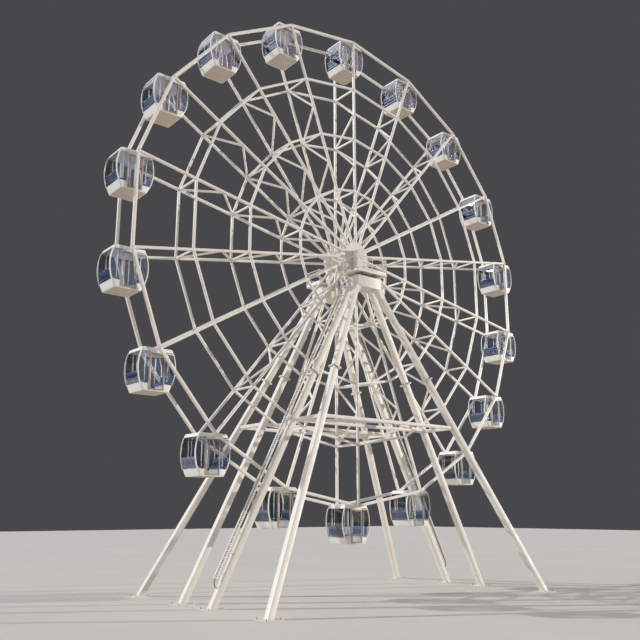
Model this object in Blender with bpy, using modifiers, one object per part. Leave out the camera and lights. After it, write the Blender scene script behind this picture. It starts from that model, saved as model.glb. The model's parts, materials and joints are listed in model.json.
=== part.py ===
"""Park ferris wheel, 30 m tall, with eighteen glazed cabins.

Two towers of four box-section legs carry a shaft. On the shaft turns a wheel of two flat
lattice frames with zigzag bracing between them. The cabins hang on pins between the frames
at the rim's corners.

Frame: metres, +Z up, X across the wheel, Y along the shaft, front at -Y.
The origin is on the ground under the middle of the wheel.
"""
import bpy
import bmesh
from math import cos, sin, tan, pi, radians, sqrt
from mathutils import Matrix, Vector

# Driving dimensions
GAP = 0.0003                      # between pieces that touch
HUB_HEIGHT = 17.07                # shaft axis above the ground
SPOKES = 18                       # corners of the rim, and cabins
RIM_RADIUS = 12.9                 # axis to each cabin pin
RING_RADII = (9.915, 6.849, 3.751)
HUB_DISC_RADIUS = 0.8             # apothem of the disc in the middle of each wheel frame
FRAME_OFFSET = 0.82               # middle plane of each wheel frame, either side of Y = 0
FRAME_THICKNESS = 0.13
RIM_WIDTH = 0.14
RING_WIDTH = 0.11
SPOKE_WIDTH = 0.12
BRACE_WIDTH = 0.09

SHAFT_RADIUS = 0.16
SHAFT_HALF_LENGTH = 1.26
DRUM_RADIUS = 0.42
SLEEVE_RADIUS = 0.5
TURN_STEPS = 32                   # sides of every turned piece on the shaft's axis

LEG_SECTION = 0.285
FOOT_X = 8.475                    # leg axes where they meet the ground
OUTER_FOOT_Y = 5.27
INNER_FOOT_Y = 1.225
OUTER_MEETING_Y = 1.3             # the points on which a tower's leg axes run in pairs
INNER_MEETING_Y = 1.2
LEG_MEETING_Z = 16.55
LEG_TOP_Z = 14.9                  # where a leg ends and the tower head starts
FOOT_PLATE = 0.82
FOOT_PLATE_THICKNESS = 0.03
FLANGE_SIZE = 0.45
FLANGE_THICKNESS = 0.07
FLANGE_Z = 10.47

TIE_Z = 8.06
TIE_SECTION = 0.16
TIE_BRACE_SECTION = 0.13

HEAD_BOX_LOW = Vector((-0.8, -1.9, 15.12))     # box of the front tower's head
HEAD_BOX_HIGH = Vector((0.8, -1.0, 15.82))

PLATFORM_LOW = Vector((-1.05, -2.16, 15.82))      # floor of the front service platform
PLATFORM_HIGH = Vector((1.0, -0.97, 15.93))
RAILING_HEIGHT = 0.72
RAILING_BAR = 0.04

HOUSING_HALF_WIDTH = 0.33
HOUSING_SHOULDER_Z = 17.12
HOUSING_TOP_Z = 17.38
HOUSING_TOP_HALF_WIDTH = 0.14
HOUSING_FRONT_Y = 1.3
HOUSING_BACK_Y = 0.97

LADDER_START = 1.14               # along the leg's axis
LADDER_END = 17.4
LADDER_OFFSET = 0.42              # from the leg's axis out to the ladder's plane
LADDER_HALF_WIDTH = 0.16
LADDER_THICKNESS = 0.05
STILE_WIDTH = 0.045
RUNG_PITCH = 0.3
RUNG_WIDTH = 0.03
RUNGS_PER_BRACKET = 3
BRACKET_WIDTH = 0.12
BRACKET_THICKNESS = 0.02

CABIN_HALF_DEPTH = 0.65           # flat end walls, along Y
CABIN_TOP = 0.05                  # heights from the pin's axis
CABIN_BAND = -0.13                # lower edge of the roof band
CABIN_SKIRT = -1.5                # upper edge of the skirt
CABIN_BOTTOM = -1.82
CABIN_BOTTOM_HALF_WIDTH = 0.605
BELLY_HALF_WIDTH = 0.9
BELLY_Z = -0.8
BELLY_RADIUS = 1.87               # of the curved side walls
CABIN_WALL = 0.04
CABIN_ARC_STEPS = 5
PIN_RADIUS = 0.035
PIN_SIDES = 8
DOOR_HALF_WIDTH = 0.345
DOOR_BOTTOM = -1.77
DOOR_TOP = -0.15
DOOR_THICKNESS = 0.035
DOOR_LAP = 0.035                  # how far a door leaf reaches past its doorway each side
VENT_HEIGHT = 0.03                # open strip over a door leaf
BENCH_FRONT = 0.42
BENCH_TOP = -1.36
BENCH_THICKNESS = 0.06
BENCH_HALF_LENGTH = 0.55
BACKREST_FRONT = 0.74
BACKREST_LOW = -1.12
BACKREST_HIGH = -0.98

# Colours: base colour, roughness, metallic
CREAM_PAINT = ("cream_paint", (0.80, 0.765, 0.69), 0.45, 0.0)
TOWER_PAINT = ("tower_paint", (0.78, 0.745, 0.67), 0.5, 0.0)
CABIN_SHELL = ("cabin_shell", (0.55, 0.60, 0.68), 0.25, 0.0)
STEEL = ("bearing_steel", (0.74, 0.71, 0.66), 0.4, 0.3)


def clear_scene():
    for old in list(bpy.data.objects):
        bpy.data.objects.remove(old, do_unlink=True)
    for old in list(bpy.data.meshes) + list(bpy.data.curves):
        if isinstance(old, bpy.types.Mesh):
            bpy.data.meshes.remove(old)
        else:
            bpy.data.curves.remove(old)


clear_scene()
PARTS = bpy.data.collections.new("ferris_wheel")
bpy.context.scene.collection.children.link(PARTS)
CUTTERS = bpy.data.collections.new("cutters")
bpy.context.scene.collection.children.link(CUTTERS)


def material(spec):
    name, colour, roughness, metallic = spec
    found = bpy.data.materials.get(name)
    if found:
        return found
    made = bpy.data.materials.new(name)
    made.use_nodes = True
    shader = made.node_tree.nodes["Principled BSDF"]
    shader.inputs["Base Color"].default_value = (*colour, 1.0)
    shader.inputs["Roughness"].default_value = roughness
    shader.inputs["Metallic"].default_value = metallic
    made.diffuse_color = (*colour, 1.0)
    return made


def add_object(name, data, collection=PARTS):
    made = bpy.data.objects.new(name, data)
    collection.objects.link(made)
    return made


def mesh_object(name, build, collection=PARTS):
    """An object whose mesh build(bm) fills."""
    mesh = bpy.data.meshes.new(name)
    bm = bmesh.new()
    build(bm)
    bmesh.ops.recalc_face_normals(bm, faces=bm.faces)
    bm.to_mesh(mesh)
    bm.free()
    return add_object(name, mesh, collection)


def box(name, low, high, collection=CUTTERS):
    size = Vector(high) - Vector(low)
    middle = (Vector(high) + Vector(low)) / 2
    place = Matrix.Translation(middle) @ Matrix.Diagonal((*size, 1.0))
    return mesh_object(name, lambda bm: bmesh.ops.create_cube(bm, size=1.0, matrix=place), collection)


def bar(name, start, end, width, depth, side, collection=CUTTERS):
    """A square-ended bar from start to end. Its width lies nearest to the direction side."""
    start, end = Vector(start), Vector(end)
    along = (end - start).normalized()
    across = (Vector(side) - along * along.dot(side)).normalized()
    normal = along.cross(across)
    turn = Matrix((across, normal, along)).transposed().to_4x4()
    size = Matrix.Diagonal((width, depth, (end - start).length, 1.0))
    place = Matrix.Translation((start + end) / 2) @ turn @ size
    return mesh_object(name, lambda bm: bmesh.ops.create_cube(bm, size=1.0, matrix=place), collection)


def cylinder_y(name, radius, y_low, y_high, centre, sides, collection=CUTTERS):
    place = Matrix.Translation((centre[0], (y_low + y_high) / 2, centre[1])) @ Matrix.Rotation(pi / 2, 4, "X")

    def build(bm):
        bmesh.ops.create_cone(bm, cap_ends=True, segments=sides, radius1=radius, radius2=radius,
                              depth=y_high - y_low, matrix=place)

    return mesh_object(name, build, collection)


def flat_curve(name, loops, thickness, collection=PARTS):
    """A flat plate in the object's XY plane. The first loop is the outline, the rest are holes."""
    curve = bpy.data.curves.new(name, "CURVE")
    curve.dimensions = "2D"
    curve.fill_mode = "BOTH"
    curve.extrude = thickness / 2
    for loop in loops:
        spline = curve.splines.new("POLY")
        spline.points.add(len(loop) - 1)
        for point, (x, y) in zip(spline.points, loop):
            point.co = (x, y, 0.0, 1.0)
        spline.use_cyclic_u = True
    return add_object(name, curve, collection)


def to_mesh(curve_object):
    """The same object as a welded mesh, at the same place."""
    bpy.context.view_layer.update()
    evaluated = curve_object.evaluated_get(bpy.context.evaluated_depsgraph_get())
    mesh = bpy.data.meshes.new_from_object(evaluated)
    bm = bmesh.new()
    bm.from_mesh(mesh)
    bmesh.ops.remove_doubles(bm, verts=bm.verts, dist=0.00005)
    bmesh.ops.recalc_face_normals(bm, faces=bm.faces)
    bm.to_mesh(mesh)
    bm.free()
    name, place = curve_object.name, curve_object.matrix_world.copy()
    collection = curve_object.users_collection[0]
    bpy.data.objects.remove(curve_object, do_unlink=True)
    made = add_object(name, mesh, collection)
    made.matrix_world = place
    return made


def combine(target, others, operation):
    """Join others to target, or cut them out of it, and remove them."""
    for other in others:
        modifier = target.modifiers.new("boolean", "BOOLEAN")
        modifier.operation = operation
        modifier.object = other
        modifier.solver = "EXACT"
    bpy.context.view_layer.update()
    evaluated = target.evaluated_get(bpy.context.evaluated_depsgraph_get())
    mesh = bpy.data.meshes.new_from_object(evaluated)
    target.modifiers.clear()
    target.data = mesh
    for other in others:
        bpy.data.objects.remove(other, do_unlink=True)
    return target


def cut_level(target, height, keep_above):
    """Cut a mesh, placed at the origin, by the level plane at height, and close it."""
    bm = bmesh.new()
    bm.from_mesh(target.data)
    cut = bmesh.ops.bisect_plane(bm, geom=bm.verts[:] + bm.edges[:] + bm.faces[:],
                                 plane_co=(0, 0, height), plane_no=(0, 0, 1),
                                 clear_inner=keep_above, clear_outer=not keep_above)
    edges = [item for item in cut["geom_cut"] if isinstance(item, bmesh.types.BMEdge)]
    bmesh.ops.contextual_create(bm, geom=edges)
    bmesh.ops.recalc_face_normals(bm, faces=bm.faces)
    bm.to_mesh(target.data)
    bm.free()
    return target


def finish(piece, name, spec):
    """Name a finished piece, give it its material and put it among the parts."""
    for collection in piece.users_collection:
        collection.objects.unlink(piece)
    PARTS.objects.link(piece)
    piece.name = name
    piece.data.name = name
    piece.data.materials.clear()
    piece.data.materials.append(material(spec))
    return piece


# Towers

FRONT, BACK = -1, 1
SIDE_NAMES = {-1: "left", 1: "right"}
TOWER_NAMES = {FRONT: "front", BACK: "back"}


def leg_axis(side, tower, outer):
    """Foot and head points of a leg's axis."""
    foot_y = OUTER_FOOT_Y if outer else INNER_FOOT_Y
    foot = Vector((side * FOOT_X, tower * foot_y, 0.0))
    meeting_y = OUTER_MEETING_Y if outer else INNER_MEETING_Y
    head = Vector((0.0, tower * meeting_y, LEG_MEETING_Z))
    return foot, head


def leg_point(side, tower, outer, height):
    foot, head = leg_axis(side, tower, outer)
    return foot.lerp(head, height / LEG_MEETING_Z)


def leg_bar(name, side, tower, outer, low_z, high_z, extra=0.0):
    width = LEG_SECTION + 2 * extra
    low = leg_point(side, tower, outer, low_z)
    high = leg_point(side, tower, outer, high_z)
    return bar(name, low, high, width, width, (0, 1, 0))


def make_leg(side, tower, outer):
    name = f"{TOWER_NAMES[tower]}_{SIDE_NAMES[side]}_{'outer' if outer else 'inner'}_leg"
    leg = leg_bar(name, side, tower, outer, -0.4, LEG_TOP_Z)
    cut_level(leg, FOOT_PLATE_THICKNESS / 2, keep_above=True)
    foot = leg_point(side, tower, outer, 0.0)
    half = FOOT_PLATE / 2
    plate = box("plate", (foot.x - half, foot.y - half, 0.0), (foot.x + half, foot.y + half, FOOT_PLATE_THICKNESS))
    middle = leg_point(side, tower, outer, FLANGE_Z)
    along = (leg_point(side, tower, outer, LEG_TOP_Z) - foot).normalized() * FLANGE_THICKNESS / 2
    flange = bar("flange", middle - along, middle + along, FLANGE_SIZE, FLANGE_SIZE, (0, 1, 0))
    combine(leg, [plate, flange], "UNION")
    finish(leg, name, TOWER_PAINT)


def leg_cutters(tower, legs):
    """Legs a little thicker than the real ones, to cut the ties back from their faces."""
    return [leg_bar("leg_cutter", side, tower, outer, TIE_Z - 1.0, TIE_Z + 1.0, GAP) for side, outer in legs]


def make_ties(tower):
    prefix = TOWER_NAMES[tower]
    outer_left = leg_point(-1, tower, True, TIE_Z)
    outer_right = leg_point(1, tower, True, TIE_Z)
    inner_left = leg_point(-1, tower, False, TIE_Z)
    inner_right = leg_point(1, tower, False, TIE_Z)
    size, slim = TIE_SECTION, TIE_BRACE_SECTION

    inner = bar("inner", inner_left, inner_right, size, size, (0, 0, 1))
    combine(inner, leg_cutters(tower, [(-1, False), (1, False)]), "DIFFERENCE")
    finish(inner, f"{prefix}_inner_tie", TOWER_PAINT)

    outer = bar("outer", outer_left, outer_right, size, size, (0, 0, 1))
    middle = (outer_left + outer_right) / 2
    braces = [bar("brace", corner, middle, slim, slim, (0, 0, 1)) for corner in (inner_left, inner_right)]
    tie_cutter = bar("tie_cutter", inner_left, inner_right, size + 2 * GAP, size + 2 * GAP, (0, 0, 1))
    combine(outer, braces, "UNION")
    cutters = leg_cutters(tower, [(-1, True), (1, True), (-1, False), (1, False)])
    combine(outer, cutters + [tie_cutter], "DIFFERENCE")
    finish(outer, f"{prefix}_outer_tie", TOWER_PAINT)

    for side, start, end in ((-1, inner_left, outer_left), (1, inner_right, outer_right)):
        tie = bar("side", start, end, size, size, (0, 0, 1))
        combine(tie, leg_cutters(tower, [(side, True), (side, False)]), "DIFFERENCE")
        finish(tie, f"{prefix}_{SIDE_NAMES[side]}_side_tie", TOWER_PAINT)


def turned_corners(low, high, tower):
    """Corners of a front-tower box, or the same box turned half way round for the back."""
    if tower == FRONT:
        return Vector(low), Vector(high)
    return Vector((-high[0], -high[1], low[2])), Vector((-low[0], -low[1], high[2]))


def make_head(tower):
    low, high = turned_corners(HEAD_BOX_LOW, HEAD_BOX_HIGH - Vector((0, 0, GAP)), tower)
    head = box("head", low, high)
    stubs = []
    for side in (-1, 1):
        for outer in (True, False):
            # the square end stands GAP above the leg's own square end
            foot, meeting = leg_axis(side, tower, outer)
            rise = GAP * (meeting - foot).normalized().z
            stub = leg_bar("stub", side, tower, outer, LEG_TOP_Z + rise, LEG_MEETING_Z - 0.01)
            cut_level(stub, high.z - 0.02, keep_above=False)
            stubs.append(stub)
    combine(head, stubs, "UNION")
    finish(head, f"{TOWER_NAMES[tower]}_tower_head", TOWER_PAINT)


def make_platform(tower):
    low, high = turned_corners(PLATFORM_LOW, PLATFORM_HIGH, tower)
    floor = box("platform", low, high)
    half = RAILING_BAR / 2
    outside_y = (low.y if tower == FRONT else high.y) - tower * half
    inside_y = (high.y if tower == FRONT else low.y) + tower * half
    far_x = (high.x if tower == FRONT else low.x) + tower * half
    near_x = (low.x if tower == FRONT else high.x) - tower * half
    middle_x = (far_x + near_x) / 2
    top = high.z + RAILING_HEIGHT
    slim = half * 0.8
    xs, ys = sorted((near_x, far_x)), sorted((inside_y, outside_y))
    bars = []
    for x, y in ((near_x, inside_y), (near_x, outside_y), (middle_x, outside_y), (far_x, outside_y),
                 (far_x, inside_y)):
        bars.append(box("post", (x - half, y - half, high.z - half), (x + half, y + half, top)))
    for level in (high.z + RAILING_HEIGHT / 2, top - half):
        bars.append(box("rail", (xs[0], outside_y - slim, level - slim), (xs[1], outside_y + slim, level + slim)))
        bars.append(box("rail", (far_x - slim, ys[0], level - slim), (far_x + slim, ys[1], level + slim)))
    # the side by the ladder has only a top rail, to climb in under
    bars.append(box("rail", (near_x - slim, ys[0], level - slim), (near_x + slim, ys[1], level + slim)))
    combine(floor, bars, "UNION")
    finish(floor, f"{TOWER_NAMES[tower]}_service_platform", TOWER_PAINT)


def make_housing(tower):
    base = PLATFORM_HIGH.z + GAP
    half, top_half = HOUSING_HALF_WIDTH, HOUSING_TOP_HALF_WIDTH
    outline = [(-half, base), (half, base), (half, HOUSING_SHOULDER_Z), (top_half, HOUSING_TOP_Z),
               (-top_half, HOUSING_TOP_Z), (-half, HOUSING_SHOULDER_Z)]
    housing = flat_curve("housing", [outline], HOUSING_FRONT_Y - HOUSING_BACK_Y, CUTTERS)
    middle_y = tower * (HOUSING_FRONT_Y + HOUSING_BACK_Y) / 2
    housing.matrix_world = Matrix.Translation((0, middle_y, 0)) @ Matrix.Rotation(pi / 2, 4, "X")
    housing = to_mesh(housing)
    bore = (SHAFT_RADIUS + GAP) / cos(pi / TURN_STEPS)
    ends = sorted((tower * (HOUSING_BACK_Y - 0.05), tower * (SHAFT_HALF_LENGTH + GAP)))
    cutter = cylinder_y("bore", bore, ends[0], ends[1], (0, HUB_HEIGHT), TURN_STEPS)
    combine(housing, [cutter], "DIFFERENCE")
    finish(housing, f"{TOWER_NAMES[tower]}_bearing_housing", STEEL)


def rung_stations():
    """Middles of the ladder's rungs, along the leg's axis. The first and the last close its ends."""
    count = round((LADDER_END - LADDER_START) / RUNG_PITCH)
    pitch = (LADDER_END - LADDER_START - RUNG_WIDTH) / count
    return [LADDER_START + RUNG_WIDTH / 2 + number * pitch for number in range(count + 1)]


def make_ladder(tower):
    """The ladder stands off the inner leg's outer face, left on the front tower, right on the back."""
    foot, head = leg_axis(tower, tower, False)
    along = (head - foot).normalized()
    across = (Vector((0, 1, 0)) - along * along.y).normalized()
    away = along.cross(across)
    away = away if away.x * tower > 0 else -away
    stations = rung_stations()
    half, inner, rung = LADDER_HALF_WIDTH, LADDER_HALF_WIDTH - STILE_WIDTH, RUNG_WIDTH / 2
    loops = [[(LADDER_START, -half), (LADDER_END, -half), (LADDER_END, half), (LADDER_START, half)]]
    for low, high in zip(stations, stations[1:]):
        loops.append([(low + rung, -inner), (high - rung, -inner), (high - rung, inner), (low + rung, inner)])
    ladder = flat_curve("ladder", loops, LADDER_THICKNESS, CUTTERS)
    turn = Matrix((along, across, along.cross(across))).transposed().to_4x4()
    ladder.matrix_world = Matrix.Translation(foot + away * LADDER_OFFSET) @ turn
    ladder = to_mesh(ladder)
    ladder.data.transform(ladder.matrix_world)
    ladder.matrix_world = Matrix.Identity(4)
    near = LEG_SECTION / 2 + GAP
    brackets = []
    for station in stations[1::RUNGS_PER_BRACKET]:
        start = foot + along * station + away * near
        end = foot + along * station + away * LADDER_OFFSET
        brackets.append(bar("bracket", start, end, BRACKET_WIDTH, BRACKET_THICKNESS, across))
    combine(ladder, brackets, "UNION")
    finish(ladder, f"{TOWER_NAMES[tower]}_ladder", TOWER_PAINT)


def make_towers():
    for tower in (FRONT, BACK):
        for side in (-1, 1):
            make_leg(side, tower, True)
            make_leg(side, tower, False)
        make_ties(tower)
        make_head(tower)
        make_platform(tower)
        make_housing(tower)
        make_ladder(tower)


# Wheel

HALF_CELL = pi / SPOKES
FRAME_INNER_FACE = FRAME_OFFSET - FRAME_THICKNESS / 2


def spoke_angle(number):
    return radians(90) + number * 2 * HALF_CELL


def polygon(radius, sides, phase):
    return [(radius * cos(phase + 2 * pi * i / sides), radius * sin(phase + 2 * pi * i / sides))
            for i in range(sides)]


def cell(inner, outer, number):
    """The opening between two spokes, from apothem inner to apothem outer."""
    bisector = spoke_angle(number) + HALF_CELL

    def corner(apothem, sign):
        across = apothem * tan(HALF_CELL) - SPOKE_WIDTH / 2 / cos(HALF_CELL)
        return (apothem * cos(bisector) - sign * across * sin(bisector),
                apothem * sin(bisector) + sign * across * cos(bisector))

    return [corner(inner, -1), corner(outer, -1), corner(outer, 1), corner(inner, 1)]


def make_wheel_frame(tower):
    """A flat lattice of rim, three rings and spokes round a hub disc."""
    loops = [polygon(RIM_RADIUS + RIM_WIDTH / 2 / cos(HALF_CELL), SPOKES, spoke_angle(0))]
    apothems = [radius * cos(HALF_CELL) for radius in RING_RADII]
    edges = [(apothems[0] + RING_WIDTH / 2, RIM_RADIUS * cos(HALF_CELL) - RIM_WIDTH / 2),
             (apothems[1] + RING_WIDTH / 2, apothems[0] - RING_WIDTH / 2),
             (apothems[2] + RING_WIDTH / 2, apothems[1] - RING_WIDTH / 2),
             (HUB_DISC_RADIUS, apothems[2] - RING_WIDTH / 2)]
    for number in range(SPOKES):
        for inner, outer in edges:
            loops.append(cell(inner, outer, number))
    loops.append(polygon(SHAFT_RADIUS + GAP, TURN_STEPS, 0.0))
    frame = flat_curve("frame", loops, FRAME_THICKNESS)
    frame.matrix_world = Matrix.Translation((0, tower * FRAME_OFFSET, HUB_HEIGHT)) @ Matrix.Rotation(pi / 2, 4, "X")
    finish(to_mesh(frame), f"{TOWER_NAMES[tower]}_wheel_frame", CREAM_PAINT)


def turned(name, profile):
    """A piece turned about the shaft's axis. The profile is (radius, y), from +Y to -Y outside."""
    mesh = bpy.data.meshes.new(name)
    bm = bmesh.new()
    verts = [bm.verts.new((radius, 0.0, height)) for radius, height in profile]
    for first, second in zip(verts, verts[1:]):
        bm.edges.new((first, second))
    bm.to_mesh(mesh)
    bm.free()
    piece = add_object(name, mesh, CUTTERS)
    screw = piece.modifiers.new("turn", "SCREW")
    screw.axis = "Z"
    screw.steps = TURN_STEPS
    screw.render_steps = TURN_STEPS
    screw.use_merge_vertices = True
    screw.merge_threshold = 0.0001
    bpy.context.view_layer.update()
    evaluated = piece.evaluated_get(bpy.context.evaluated_depsgraph_get())
    piece.data = bpy.data.meshes.new_from_object(evaluated)
    piece.modifiers.clear()
    piece.data.transform(Matrix.Translation((0, 0, HUB_HEIGHT)) @ Matrix.Rotation(-pi / 2, 4, "X"))
    return piece


def make_hub_shaft():
    face = FRAME_INNER_FACE - GAP
    end = SHAFT_HALF_LENGTH
    profile = [(0, end), (SHAFT_RADIUS, end), (SHAFT_RADIUS, face), (DRUM_RADIUS, face),
               (DRUM_RADIUS, -face), (SHAFT_RADIUS, -face), (SHAFT_RADIUS, -end), (0, -end)]
    shaft = turned("hub_shaft", profile)
    finish(shaft, "hub_shaft", STEEL)
    shaft.data.shade_smooth()
    shaft.data.set_sharp_from_angle(angle=radians(30))


def meet(first, second):
    """Where two lines meet. A line is a point and a direction in the (radius, y) plane."""
    (px, py), (dx, dy) = first
    (qx, qy), (ex, ey) = second
    along = ((qx - px) * ey - (qy - py) * ex) / (dx * ey - dy * ex)
    return (px + along * dx, py + along * dy)


def brace_edges(start, end):
    """Both edges of a diagonal: the one on its inner-radius side, then the outer one."""
    dx, dy = end[0] - start[0], end[1] - start[1]
    length = sqrt(dx * dx + dy * dy)
    nx, ny = -dy / length, dx / length
    if nx > 0:
        nx, ny = -nx, -ny
    half = BRACE_WIDTH / 2
    return (((start[0] + nx * half, start[1] + ny * half), (dx, dy)),
            ((start[0] - nx * half, start[1] - ny * half), (dx, dy)))


def zigzag_outline():
    """Struts and diagonals behind one spoke, in the plane of the spoke and the shaft."""
    face = FRAME_INNER_FACE - GAP
    aim = FRAME_OFFSET - BRACE_WIDTH / 3
    back_face, front_face = ((0, face), (1, 0)), ((0, -face), (1, 0))
    backs = list(RING_RADII)
    inner_end = SLEEVE_RADIUS - 0.04
    fronts = [(a + b) / 2 for a, b in zip(backs, backs[1:] + [HUB_DISC_RADIUS])]
    points = []
    for back, front in zip(backs, fronts):
        points += [(back, aim), (front, -aim)]
    points.append((inner_end, 0.35))
    diagonals = [brace_edges(a, b) for a, b in zip(points, points[1:])]
    half = BRACE_WIDTH / 2
    upper, lower = [(backs[0] + half, face)], [(backs[0] + half, -face), (backs[0] - half, -face)]
    lower.append(meet(diagonals[0][1], ((backs[0] - half, 0), (0, 1))))
    for number in range(len(diagonals) - 1):
        this_inner, this_outer = diagonals[number]
        next_inner, next_outer = diagonals[number + 1]
        if number % 2 == 0:
            # a corner on the front frame
            if number == 0:
                upper.append(meet(this_inner, back_face))
            upper.append(meet(this_inner, next_outer))
            lower += [meet(this_outer, front_face), meet(next_inner, front_face)]
        else:
            # a corner on the back frame, with its strut
            radius = backs[(number + 1) // 2]
            upper += [meet(this_outer, back_face), meet(next_inner, back_face)]
            lower += [meet(this_inner, ((radius + half, 0), (0, 1))), (radius + half, -face),
                      (radius - half, -face), meet(next_outer, ((radius - half, 0), (0, 1)))]
    last_inner, last_outer = diagonals[-1]
    end_line = ((inner_end, 0), (0, 1))
    return upper + [meet(last_outer, end_line), meet(last_inner, end_line)] + lower[::-1]


def make_bracing():
    """Eighteen zigzags on a sleeve round the hub drum."""
    face = FRAME_INNER_FACE - GAP
    inside = DRUM_RADIUS + GAP
    sleeve = turned("sleeve", [(inside, -face), (inside, face), (SLEEVE_RADIUS, face),
                               (SLEEVE_RADIUS, -face), (inside, -face)])
    outline = zigzag_outline()
    zigzags = []
    for number in range(SPOKES):
        zigzag = flat_curve("zigzag", [outline], BRACE_WIDTH, CUTTERS)
        # the curve's X runs along the spoke and its Y along the shaft
        out = Vector((cos(spoke_angle(number)), 0, sin(spoke_angle(number))))
        along_shaft = Vector((0, 1, 0))
        turn = Matrix((out, along_shaft, out.cross(along_shaft))).transposed().to_4x4()
        zigzag.matrix_world = Matrix.Translation((0, 0, HUB_HEIGHT)) @ turn
        zigzags.append(to_mesh(zigzag))
    combine(sleeve, zigzags, "UNION")
    finish(sleeve, "wheel_bracing", CREAM_PAINT)


# Cabins. Each is modelled round its pin and then placed at its corner of the rim.

def side_x(height):
    """Half width of the curved side wall at a height."""
    return BELLY_HALF_WIDTH - BELLY_RADIUS + sqrt(BELLY_RADIUS ** 2 - (height - BELLY_Z) ** 2)


def cabin_outline(inset):
    """Outline of the cabin across the wheel, or of its hollow when inset is the wall."""
    heights = [CABIN_SKIRT + (CABIN_BAND - CABIN_SKIRT) * i / CABIN_ARC_STEPS for i in range(CABIN_ARC_STEPS + 1)]
    heights.append(CABIN_TOP - inset)
    right = [(CABIN_BOTTOM_HALF_WIDTH - inset * 0.8, CABIN_BOTTOM + inset)]
    right += [(side_x(height) - inset, height) for height in heights]
    return right + [(-x, z) for x, z in reversed(right)]


def extruded(name, outline, half_depth):
    """An outline across the wheel, extruded along the shaft either side of Y = 0."""
    piece = flat_curve(name, [outline], 2 * half_depth, CUTTERS)
    piece.matrix_world = Matrix.Rotation(pi / 2, 4, "X")
    return to_mesh(piece)


def door_box(name, reach, low_z, high_z, inner_y, outer_y):
    return box(name, (-reach, -outer_y, low_z), (reach, -inner_y, high_z))


def baked(piece):
    """The piece's mesh with its placing written into it, and the object removed."""
    mesh = piece.data
    mesh.transform(piece.matrix_world)
    bpy.data.objects.remove(piece, do_unlink=True)
    return mesh


def cabin_mesh(with_door):
    shell = extruded("cabin", cabin_outline(0.0), CABIN_HALF_DEPTH)
    hollow = extruded("hollow", cabin_outline(CABIN_WALL), CABIN_HALF_DEPTH - CABIN_WALL)
    doorway = door_box("doorway", DOOR_HALF_WIDTH - DOOR_LAP, DOOR_BOTTOM + DOOR_LAP, DOOR_TOP - DOOR_LAP,
                       CABIN_HALF_DEPTH - 2 * CABIN_WALL, CABIN_HALF_DEPTH + CABIN_WALL)
    combine(shell, [hollow, doorway], "DIFFERENCE")
    additions = []
    for side in (-1, 1):
        seat_wall = side * (side_x(BENCH_TOP - BENCH_THICKNESS) - CABIN_WALL / 2)
        back_wall = side * (side_x(BACKREST_LOW) - CABIN_WALL / 2)
        seat_xs = sorted((side * BENCH_FRONT, seat_wall))
        back_xs = sorted((side * BACKREST_FRONT, back_wall))
        additions.append(box("seat", (seat_xs[0], -BENCH_HALF_LENGTH, BENCH_TOP - BENCH_THICKNESS),
                             (seat_xs[1], BENCH_HALF_LENGTH, BENCH_TOP)))
        additions.append(box("back", (back_xs[0], -BENCH_HALF_LENGTH, BACKREST_LOW),
                             (back_xs[1], BENCH_HALF_LENGTH, BACKREST_HIGH)))
        ends = sorted((side * (CABIN_HALF_DEPTH - CABIN_WALL / 2), side * (FRAME_INNER_FACE - GAP)))
        additions.append(cylinder_y("pin", PIN_RADIUS, ends[0], ends[1], (0, 0), PIN_SIDES))
    if with_door:
        additions.append(door_box("leaf", DOOR_HALF_WIDTH, DOOR_BOTTOM, DOOR_TOP - DOOR_LAP - VENT_HEIGHT,
                                  CABIN_HALF_DEPTH - CABIN_WALL / 2, CABIN_HALF_DEPTH + DOOR_THICKNESS))
    combine(shell, additions, "UNION")
    return baked(shell)


def cabin_place(number):
    """Pin axis of a cabin. Number 1 hangs lowest, and the rest follow round the rim."""
    angle = radians(270) + (number - 1) * 2 * HALF_CELL
    return Vector((RIM_RADIUS * cos(angle), 0.0, HUB_HEIGHT + RIM_RADIUS * sin(angle)))


def make_cabins():
    open_mesh = cabin_mesh(with_door=False)
    closed_mesh = cabin_mesh(with_door=True)
    open_mesh.name = "boarding_cabin"
    closed_mesh.name = "cabin"
    for number in range(1, SPOKES + 1):
        mesh = open_mesh if number == 1 else closed_mesh
        cabin = add_object(f"cabin_{number:02d}", mesh)
        cabin.location = cabin_place(number)
        if not mesh.materials or mesh.materials[0] is None:
            mesh.materials.clear()
            mesh.materials.append(material(CABIN_SHELL))
    inner_y = CABIN_HALF_DEPTH + GAP
    door = door_box("door", DOOR_HALF_WIDTH, DOOR_BOTTOM, DOOR_TOP - DOOR_LAP - VENT_HEIGHT,
                    inner_y, inner_y + DOOR_THICKNESS)
    finish(door, "cabin_01_door", CABIN_SHELL)
    door.location = cabin_place(1)


make_towers()
for tower in (FRONT, BACK):
    make_wheel_frame(tower)
make_hub_shaft()
make_bracing()
make_cabins()
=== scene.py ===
import json
from math import cos, sin, pi, radians, sqrt

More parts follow.
